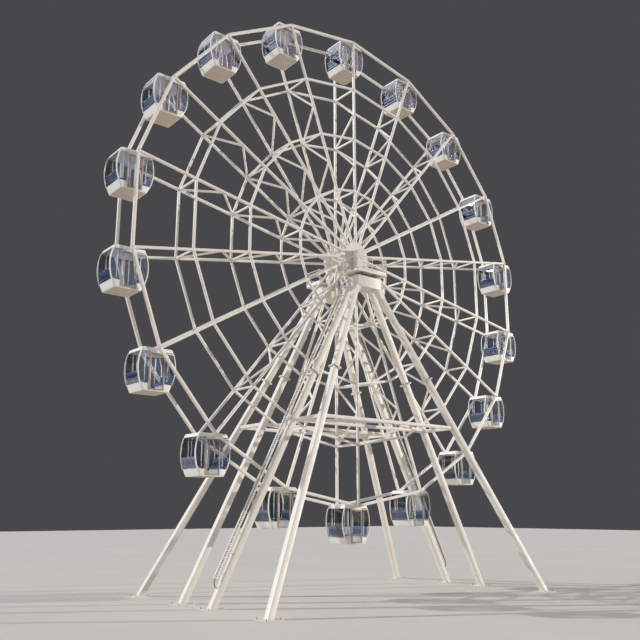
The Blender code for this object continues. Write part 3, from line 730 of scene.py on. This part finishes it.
def make_wheel_frame(tower):
    prefix = TOWERS[tower]
    offset = tower * FRAME_OFFSET
    middle = HUB + Y * offset
    tubes = Shape()
    polygon_tube(tubes, RIM_RADIUS, RIM_WIDTH, FRAME_THICKNESS, offset)
    for radius in RING_RADII:
        polygon_tube(tubes, radius, RING_WIDTH, FRAME_THICKNESS - 0.01, offset)
    for number in range(SPOKES):
        out = spoke_way(number)
        tubes.bar(middle + out * (HUB_DISC_RADIUS - 0.06), middle + out * (RIM_RADIUS - 0.03),
                  FRAME_THICKNESS - 0.004, SPOKE_WIDTH, Y, 0.02)
        # end plates of the bolted spoke joint, and welds at the rings
        joint = middle + out * SPOKE_JOINT_RADIUS
        for way in (-1, 1):
            tubes.bar(joint + out * way * 0.001, joint + out * way * 0.012, 0.15, 0.14, Y, 0.004)
        for radius in RING_RADII:
            for way in (-1, 1):
                tubes.weld(middle + out * (radius + way * (RING_WIDTH / 2 + 0.003)), out,
                           FRAME_THICKNESS - 0.012, SPOKE_WIDTH + 0.002, Y, 0.005)
    half = FRAME_THICKNESS / 2
    bore = SHAFT_RADIUS + 0.005
    tubes.turned(ring_profile(bore, HUB_DISC_RADIUS, half), middle, Y, 54, closed=True)
    face = half - 0.002
    # raised rings under the two circles of bolts
    for lip, sides in (([(bore, 0.0), (bore, 0.02), (0.3, 0.02), (0.31, 0.012), (0.31, 0.0)], 40),
                       ([(0.66, 0.0), (0.66, 0.006), (0.665, 0.01), (0.785, 0.01), (0.79, 0.0)], 54)):
        tubes.turned([(r, face + lift) for r, lift in lip], middle, Y * tower, sides, closed=True)
    piece(f"{prefix}_wheel_tubes", tubes, "wheel", "wheel_paint", [f"{prefix}_wheel_frame"])


def make_bracing():
    bracing = Shape()
    reach = FRAME_OFFSET - BRACE_WIDTH / 3
    cross = BRACE_WIDTH - 0.004
    corners = []
    for radius, after in zip(RING_RADII, (*RING_RADII[1:], HUB_DISC_RADIUS)):
        corners += [(radius, reach), ((radius + after) / 2, -reach)]
    corners.append((SLEEVE_RADIUS - 0.04, 0.35))
    for number in range(SPOKES):
        out = spoke_way(number)
        tangent = out.cross(Y)
        places = [HUB + out * radius + Y * y for radius, y in corners]
        for start, end in zip(places, places[1:]):
            bracing.bar(start, end, BRACE_WIDTH, BRACE_WIDTH, tangent, 0.014)
        for radius in RING_RADII:
            at = HUB + out * radius
            bracing.bar(at - Y * reach, at + Y * reach, cross, cross, tangent, 0.014)
    face = FRAME_OFFSET - FRAME_THICKNESS / 2 - 0.002
    bracing.turned(ring_profile(DRUM_RADIUS, SLEEVE_RADIUS, face), HUB, Y, 48, closed=True)
    low, high = SLEEVE_RADIUS - 0.004, SLEEVE_RADIUS + 0.012
    for y in (-0.42, -0.14, 0.14, 0.42):
        hoop = [(low, y - 0.01), (high, y - 0.008), (high, y + 0.008), (low, y + 0.01)]
        bracing.turned(hoop, HUB, Y, 48, closed=True)
    piece("wheel_bracing_tubes", bracing, "wheel", "wheel_paint", ["wheel_bracing"])


def make_hub():
    hub = Shape()
    face = FRAME_OFFSET - FRAME_THICKNESS / 2 - 0.001
    r, end = SHAFT_RADIUS, SHAFT_HALF_LENGTH
    profile = [(r - 0.012, -end), (r, -end + 0.012), (r, -face), (DRUM_RADIUS - 0.02, -face),
               (DRUM_RADIUS - 0.02, face), (r, face), (r, end - 0.012), (r - 0.012, end)]
    hub.turned(profile, HUB, Y, 48)
    for way in (-1, 1):
        collar = [(0, 0.0), (0.035, 0.0), (0.04, 0.005), (0.04, 0.035), (0.035, 0.04), (0, 0.04)]
        hub.turned([(r + rise, d) for rise, d in collar], HUB + Y * way * 0.9, Y * way, 40, closed=True)
    piece("hub_shaft_turned", hub, "wheel", "bearing_paint", ["hub_shaft"])


def make_wheel_details():
    bolts, blocks = Shape(), Shape()
    outer = FRAME_OFFSET + FRAME_THICKNESS / 2
    inner = FRAME_OFFSET - FRAME_THICKNESS / 2
    # a flanged bearing on the rim's inner face, and its cap outside
    bearing = [(0.03, inner - 0.028), (0.05, inner - 0.028), (0.056, inner - 0.022), (0.056, inner + 0.01)]
    cap = [(0.062, outer - 0.01), (0.062, outer + 0.01), (0.056, outer + 0.016), (0.03, outer + 0.016),
           (0.026, outer + 0.03), (0.012, outer + 0.034)]
    for tower in TOWERS:
        out = Y * tower
        for px, pz in circle(1.0, 12, pi / 12):
            way = Vector((px, 0, pz))
            bolts.bolt(HUB + way * 0.25 + out * (outer + 0.017), out, 0.03)
            bolts.bolt(HUB + way * 0.725 + out * (outer + 0.007), out, 0.026)
        for pin in PINS.values():
            blocks.turned(bearing, pin, out, 24)
            blocks.turned(cap, pin, out, 24)
            for px, pz in circle(0.046, 4, pi / 4):
                bolts.bolt(pin + Vector((px, 0, pz)) + out * (outer + 0.014), out, 0.012)
    piece("pin_blocks", blocks, "wheel", "bearing_paint")
    piece("wheel_bolts", bolts, "wheel", "bolt_steel")


# Cabins. Every cabin uses the same meshes, written round its pin.

def side_x(height):
    """Half width of the cabin's curved side wall at a height."""
    if height >= CABIN_SKIRT:
        return BELLY_HALF_WIDTH - BELLY_RADIUS + sqrt(BELLY_RADIUS ** 2 - (height - BELLY_Z) ** 2)
    share = (height - CABIN_BOTTOM) / (CABIN_SKIRT - CABIN_BOTTOM)
    return CABIN_BOTTOM_HALF_WIDTH + (side_x(CABIN_SKIRT) - CABIN_BOTTOM_HALF_WIDTH) * share


def plan(height, moved_in):
    """Outline of the cabin seen from above, at a height and moved in from the outside."""
    width, depth = 2 * (side_x(height) - moved_in), 2 * (CABIN_HALF_DEPTH - moved_in)
    outline = rounded_rectangle(width, depth, max(0.01, PLAN_RADIUS - moved_in), 4)
    return [Vector((x, y, height)) for x, y in outline]


def cabin_shell():
    shell = Shape()
    # roof with a hollow ceiling and a rounded edge
    rows = [(CABIN_BAND + 0.035, 0.07), (CABIN_BAND + 0.03, 0.06), (CABIN_BAND, 0.055), (CABIN_BAND, 0.008),
            (CABIN_BAND + 0.008, 0.0), (-0.05, 0.0), (0.0, 0.0), (0.022, 0.004), (0.038, 0.016),
            (0.046, 0.034), (CABIN_TOP, 0.06)]
    shell.loft([plan(z, moved) for z, moved in rows])
    # drip edge round the roof
    shell.tube(plan(CABIN_BAND + 0.012, -0.002), 0.007, 6, closed=True)
    # a low vent on top
    shell.slab(rounded_rectangle(0.5, 0.36, 0.06), 0.02, Vector((0, 0, CABIN_TOP - 0.004)), X, Y, 0.006)
    # skirt, open at the doorway
    top, bottom = CABIN_SKIRT, CABIN_BOTTOM
    section = [(top, 0.032), (top, 0.006), (top - 0.006, 0.0), (top - 0.045, 0.0), (top - 0.049, 0.004),
               (top - 0.057, 0.004), (top - 0.061, 0.0), (-1.7, 0.0), (bottom + 0.02, 0.0),
               (bottom + 0.005, 0.006), (bottom + 0.004, 0.03), (bottom + 0.02, CABIN_WALL),
               (-1.7, CABIN_WALL), (top - 0.006, CABIN_WALL)]
    rows = []
    for z, moved in section:
        full = plan(z, moved)
        # the outline starts at the corner of +X and +Y; turn it to start beside the doorway
        first = max(range(len(full)), key=lambda i: (full[i].x > 0 and full[i].y < 0, -full[i].x))
        full = full[first:] + full[:first]
        edge = -(CABIN_HALF_DEPTH - moved)
        rows.append([(DOORWAY_HALF_WIDTH, edge, z)] + full + [(-DOORWAY_HALF_WIDTH, edge, z)])
    shell.loft(list(zip(*rows)))
    # curved corner posts
    post = rounded_rectangle(POST, POST, 0.018)
    for sx in (-1, 1):
        for sy in (-1, 1):
            loops = []
            for z in evenly(CABIN_SKIRT - 0.02, CABIN_BAND + 0.02, 12):
                middle = Vector((sx * (side_x(z) - POST / 2), sy * (CABIN_HALF_DEPTH - POST / 2), z))
                loops.append([middle + Vector((*point, 0)) for point in post])
            shell.loft(loops)
    # doorway posts, header and mullions at the back
    front = -CABIN_HALF_DEPTH
    for sx in (-1, 1):
        x = sx * (DOORWAY_HALF_WIDTH + 0.026)
        for y, low, width, depth in ((front + 0.02, top - 0.3, 0.058, 0.038),
                                     (-front - 0.02, top - 0.02, 0.034, 0.03)):
            shell.bar((x, y, low), (x, y, CABIN_BAND + 0.02), width, depth, X, 0.008)
    shell.box((-0.36, front + 0.001, -0.19), (0.36, front + 0.04, CABIN_BAND + 0.01), 0.006)
    # sill of the doorway, and the door's track under the roof
    shell.box((-DOORWAY_HALF_WIDTH, front + 0.001, bottom + 0.006),
              (DOORWAY_HALF_WIDTH, front + 0.045, DOOR_BOTTOM + 0.03), 0.005)
    shell.box((-0.36, front - 0.028, -0.2), (0.74, front + 0.004, -0.172), 0.005)
    # brackets of the hanging pins
    for way in (-1, 1):
        shell.turned([(0.085, -0.01), (0.085, 0.006), (0.078, 0.011), (0.05, 0.011), (0.044, 0.02)],
                     (0, way * CABIN_HALF_DEPTH, -0.035), Y * way, 28)
    return shell


def cabin_floor():
    floor = Shape()
    rows = [(CABIN_BOTTOM, 0.05), (CABIN_BOTTOM + 0.006, 0.036), (CABIN_BOTTOM + 0.02, 0.03),
            (DOOR_BOTTOM - 0.006, 0.03), (DOOR_BOTTOM, 0.042)]
    floor.loft([plan(z, moved) for z, moved in rows])
    for y in (-0.3, 0.0, 0.3):
        floor.box((-0.5, y - 0.02, CABIN_BOTTOM - 0.006), (0.5, y + 0.02, CABIN_BOTTOM + 0.004), 0.004)
    return floor


def window_pane(shape, low, high, corners):
    """A thin closed pane. Corners gives four (x, y) of its section at a height; returns its outer edge."""
    loops = [[(x, y, z) for x, y in corners(z)] for z in evenly(low, high, 12)]
    shape.loft(loops)
    return [loop[0] for loop in loops] + [loop[1] for loop in loops[::-1]]


def curved_pane(shape, sx, reach, low, high):
    """A pane that follows the curved side."""
    def corners(z):
        outer = side_x(z) - 0.014
        inner = outer - GLASS
        return (sx * outer, -reach), (sx * outer, reach), (sx * inner, reach), (sx * inner, -reach)

    return window_pane(shape, low, high, corners)


def end_pane(shape, y, start, end, low, high):
    """A pane in an end wall. Start and end give its X at a height."""
    back = y - (GLASS if y > 0 else -GLASS)

    def corners(z):
        return (start(z), y), (end(z), y), (end(z), back), (start(z), back)

    return window_pane(shape, low, high, corners)


def cabin_windows():
    """The panes, and the seals round them."""
    glass, seals = Shape(), Shape()
    low, high = CABIN_SKIRT - 0.004, CABIN_BAND + 0.004
    reach = CABIN_HALF_DEPTH - POST + 0.006
    edges = [curved_pane(glass, sx, reach, low, high) for sx in (-1, 1)]
    y = CABIN_HALF_DEPTH - 0.016
    for sx in (-1, 1):
        for wall, jamb in ((-y, 0.052), (y, 0.04)):
            edges.append(end_pane(glass, wall, lambda z: sx * (DOORWAY_HALF_WIDTH + jamb),
                                  lambda z: sx * (side_x(z) - POST + 0.006), low, high))
    inner = DOORWAY_HALF_WIDTH + 0.012
    edges.append(end_pane(glass, y, lambda z: -inner, lambda z: inner, low, high))
    for edge in edges:
        seals.tube(edge, 0.009, 6, closed=True)
    return glass, seals


def leaning(outline, sx, middle, size):
    """An outline across a bench, leaning outwards as the backrests do."""
    return [Vector(middle) + Vector((px + sx * BACKREST_LEAN * pz, 0, pz)) * size for px, pz in outline]


def cabin_seats():
    seats, end = Shape(), BENCH_HALF_LENGTH
    for sx in (-1, 1):
        # seat with a rolled front edge, ridges between its places, and the backrest band
        wall = side_x(BENCH_TOP) - 0.045
        nose, low = BENCH_FRONT, BENCH_TOP - 0.065
        section = [(nose + 0.03, low), (nose + 0.006, low + 0.01), (nose, low + 0.03),
                   (nose + 0.008, low + 0.053), (nose + 0.035, BENCH_TOP), (wall - 0.1, BENCH_TOP - 0.018),
                   (wall - 0.02, BENCH_TOP), (wall, BENCH_TOP), (wall - 0.004, low)]
        middle = Vector((0.58, -1.395))
        loops = []
        for y, shrink in ((-end, 0.9), (-end + 0.015, 1.0), (end - 0.015, 1.0), (end, 0.9)):
            shrunk = [middle + (Vector(point) - middle) * shrink for point in section]
            loops.append([(sx * point.x, y, point.y) for point in shrunk])
        seats.loft(loops)
        for y in (-0.185, 0.185):
            ridge = Vector((sx * 0.57, y, BENCH_TOP))
            seats.box(ridge - Vector((0.13, 0.004, 0.004)), ridge + Vector((0.13, 0.004, 0.003)), 0.001, 1)
        band = rounded_rectangle(0.05, BACKREST_HIGH - BACKREST_LOW, 0.022)
        x, z = sx * (BACKREST_FRONT + 0.035), (BACKREST_LOW + BACKREST_HIGH) / 2
        seats.loft([leaning(band, sx, (x, y, z), 1.0 if abs(y) < end - 0.01 else 0.8)
                    for y in evenly(-end, end, 6)])
    return seats


def cabin_seat_backs():
    """The moulded backs below the backrest band, three to a bench, in a darker navy copy of the seat's blue
    that is painted shade.
    """
    backs = Shape()
    panel = rounded_rectangle(0.018, 0.25, 0.008, 2)
    for sx in (-1, 1):
        for start in (-BENCH_HALF_LENGTH, -0.18, 0.19):
            backs.loft([leaning(panel, sx, (sx * (BACKREST_FRONT + 0.015), start + step, -1.24), size)
                        for step, size in ((0.0, 0.85), (0.012, 1.0), (0.348, 1.0), (0.36, 0.85))])
    return backs


def cabin_trim():
    """Poles from ceiling to seat, the backrests' brackets, and the benches' bases."""
    trim = Shape()
    for sx in (-1, 1):
        base = sorted((sx * 0.5, sx * (side_x(-1.7) - 0.05)))
        trim.box((base[0], -0.5, DOOR_BOTTOM), (base[1], 0.5, -1.42), 0.012, 3)
        for sy in (-1, 1):
            x, y = sx * 0.53, sy * 0.575
            trim.tube([(x, y, BENCH_TOP - 0.03), (x, y, CABIN_BAND + 0.035)], 0.022, 12)
            for z, up in ((BENCH_TOP + 0.002, Z), (CABIN_BAND + 0.02, -Z)):
                trim.turned([(0.042, -0.006), (0.042, 0.002), (0.024, 0.012)], (x, y, z), up, 16)
        for y in (-0.4, 0.0, 0.4):
            wall = side_x(-1.05) - 0.03
            trim.bar((sx * (BACKREST_FRONT + 0.05), y, -1.05), (sx * wall, y, -1.05), 0.05, 0.02, Y, 0.004)
    return trim


def cabin_pins():
    pins = Shape()
    for way in (-1, 1):
        pins.turned([(PIN_RADIUS + 0.01, 0.645), (PIN_RADIUS + 0.01, 0.675), (PIN_RADIUS, 0.68),
                     (PIN_RADIUS, 0.75), (PIN_RADIUS - 0.004, 0.7545)], Vector(), Y * way, 20)
    return pins


def door_parts():
    """Stiles and rails, the pane, its seal and the pull handle."""
    bars, pane, seal, handle = Shape(), Shape(), Shape(), Shape()
    y = -(DOOR_INNER_Y + DOOR_THICKNESS / 2)
    half = DOOR_HALF_WIDTH
    for sx in (-1, 1):
        x = sx * (half - STILE / 2)
        bars.bar((x, y, DOOR_BOTTOM), (x, y, DOOR_TOP), STILE, DOOR_THICKNESS - 0.001, X, 0.007)
        hanger = sx * 0.27
        bars.bar((hanger, y, DOOR_TOP - 0.02), (hanger, y, DOOR_TOP + 0.012), 0.06, 0.02, X, 0.004)
    for z, height in ((DOOR_TOP - 0.026, 0.05), (DOOR_BOTTOM + 0.025, 0.048)):
        bars.bar((-half + 0.02, y, z), (half - 0.02, y, z), height, DOOR_THICKNESS - 0.004, Z, 0.006)
    inner = half - STILE + 0.006
    low, high = DOOR_BOTTOM + 0.044, DOOR_TOP - 0.046
    pane.box((-inner, y - GLASS / 2, low), (inner, y + GLASS / 2, high), 0.002, 1)
    edge = inset([(-inner, low), (inner, low), (inner, high), (-inner, high)], 0.008)
    for way in (-1, 1):
        seal.tube([(px, y + way * 0.005, pz) for px, pz in edge], 0.008, 6, closed=True)
    x = -half + STILE / 2
    out = y - DOOR_THICKNESS / 2
    grip = [(out + 0.004, -1.25), (out - 0.012, -1.243), (out - 0.018, -1.225), (out - 0.018, -0.76),
            (out - 0.012, -0.742), (out + 0.004, -0.735)]
    handle.tube([(x, py, pz) for py, pz in grip], 0.009, 8)
    handle.box((x - 0.016, out - 0.003, -1.3), (x + 0.016, out + 0.002, -0.69), 0.001, 1)
    return bars, pane, seal, handle


def make_cabins():
    glass, seals = cabin_windows()
    parts = [("shell", cabin_shell(), "cabin_shell"), ("floor", cabin_floor(), "cabin_floor"),
             ("glass", glass, "cabin_glass"), ("seals", seals, "seal"), ("seats", cabin_seats(), "seat"),
             # the backs take the darker navy look, which is painted shade
             ("seat_backs", cabin_seat_backs(), "seat_back"),
             ("trim", cabin_trim(), "white_trim"), ("pins", cabin_pins(), "bearing_paint")]
    bars, pane, seal, handle = door_parts()
    parts += [("door_frame", bars, "door_frame"), ("door_glass", pane, "cabin_glass"),
              ("door_seal", seal, "seal"), ("door_handle", handle, "white_trim")]
    parts = [(name, shape.mesh(f"cabin_{name}_mesh", slot), slot) for name, shape, slot in parts]
    for cabin, pin in PINS.items():
        sliding = f"{cabin}_door" in frame["bodies"]
        door = f"{cabin}_door" if sliding else cabin
        stands_for = {"shell": [cabin], "door_frame": [door] if sliding else ()}
        for name, mesh, slot in parts:
            body = door if name.startswith("door_") else cabin
            piece(f"{cabin}_{name}", mesh, body, slot, stands_for.get(name, ()), pin)


# Surroundings

def aim(azimuth, elevation):
    """The direction to a light, in degrees from +X and above the floor."""
    a, e = radians(azimuth), radians(elevation)
    return Vector((cos(a) * cos(e), sin(a) * cos(e), sin(e)))


def make_stage():
    scene = bpy.context.scene
    ground = Shape()
    corners = [(x * GROUND_REACH, y * GROUND_REACH) for x, y in ((-1, -1), (1, -1), (1, 1), (-1, 1))]
    ground.loft([[(x, y, z) for x, y in corners] for z in (-0.2, 0.0)])
    floor = bpy.data.objects.new("ground", ground.mesh("ground", "ground"))
    scene.collection.objects.link(floor)

    scene.world = bpy.data.worlds.new("studio")
    graph = Graph(scene.world, "Generated")

    def share(towards, low, high):
        """How far a direction leans towards another one, eased between two values of their dot product."""
        dot = graph.node("ShaderNodeVectorMath", {0: graph.place, 1: towards}, operation="DOT_PRODUCT")
        return graph.span(dot.outputs["Value"], low, high, interpolation_type="SMOOTHSTEP")

    # a bright cool side on the left, brightest towards the back, and a dim side on the right
    lit = graph.mix(share(-X, -0.25, 0.6), (0.10, 0.10, 0.125), (0.60, 0.59, 0.66))
    lit = graph.mix(share(aim(138, 29), 0.75, 0.98), lit, (1.2, 1.2, 1.3))
    # dark surroundings, as glass shows them
    passed = graph.mix(share(Z, 0.0, 0.22), (0.03, 0.03, 0.024), (0.045, 0.048, 0.05))
    passed = graph.mix(share(Z, 0.3, 0.6), passed, (0.15, 0.145, 0.175))
    # what glass mirrors: a side that is lilac high up, and a bright sky above
    side = graph.mix(share(Z, 0.02, 0.2), (0.07, 0.07, 0.05), (0.5, 0.56, 0.74))
    side = graph.mix(share(Z, 0.4, 0.56), side, (0.95, 0.86, 1.08))
    mirrored = graph.mix(share(aim(309, 20), 0.3, 0.95), (0.04, 0.04, 0.035), side)
    mirrored = graph.mix(share(Z, 0.57, 0.65), mirrored, (1.1, 1.13, 1.3))
    path = graph.node("ShaderNodeLightPath").outputs
    sky = graph.mix(path["Is Transmission Ray"], lit, passed)
    sky = graph.mix(path["Is Glossy Ray"], sky, mirrored)
    sky = graph.mix(path["Is Camera Ray"], sky, (0.065, 0.065, 0.07))
    graph.finish(graph.node("ShaderNodeBackground", {"Color": sky}).outputs[0], "ShaderNodeOutputWorld")

    for name, azimuth, elevation, energy, colour in (("front", 332, 12, 2.6, (1.0, 0.955, 0.90)),
                                                     ("back", 138, 29, 1.9, (0.95, 0.985, 1.0))):
        lamp = bpy.data.lights.new(name, "SUN")
        lamp.energy, lamp.color, lamp.angle = energy, colour, radians(0.8)
        holder = bpy.data.objects.new(name, lamp)
        holder.rotation_mode = "QUATERNION"
        holder.rotation_quaternion = aim(azimuth, elevation).to_track_quat("Z", "Y")
        scene.collection.objects.link(holder)


def make_camera():
    scene = bpy.context.scene
    data = bpy.data.cameras.new("camera")
    data.lens, data.sensor_width, data.clip_end = 43.44, 36.0, 600.0
    camera = bpy.data.objects.new("camera", data)
    camera.location = (-26.06, -30.06, 3.856)
    yaw, pitch = 0.6795, 0.2442
    forward = Vector((sin(yaw) * cos(pitch), cos(yaw) * cos(pitch), sin(pitch)))
    camera.rotation_mode = "QUATERNION"
    camera.rotation_quaternion = forward.to_track_quat("-Z", "Y")
    scene.collection.objects.link(camera)
    scene.camera = camera
    scene.view_settings.view_transform = "Standard"


make_towers()
for tower in TOWERS:
    make_wheel_frame(tower)
make_bracing()
make_hub()
make_wheel_details()
make_cabins()
make_stage()
make_camera()
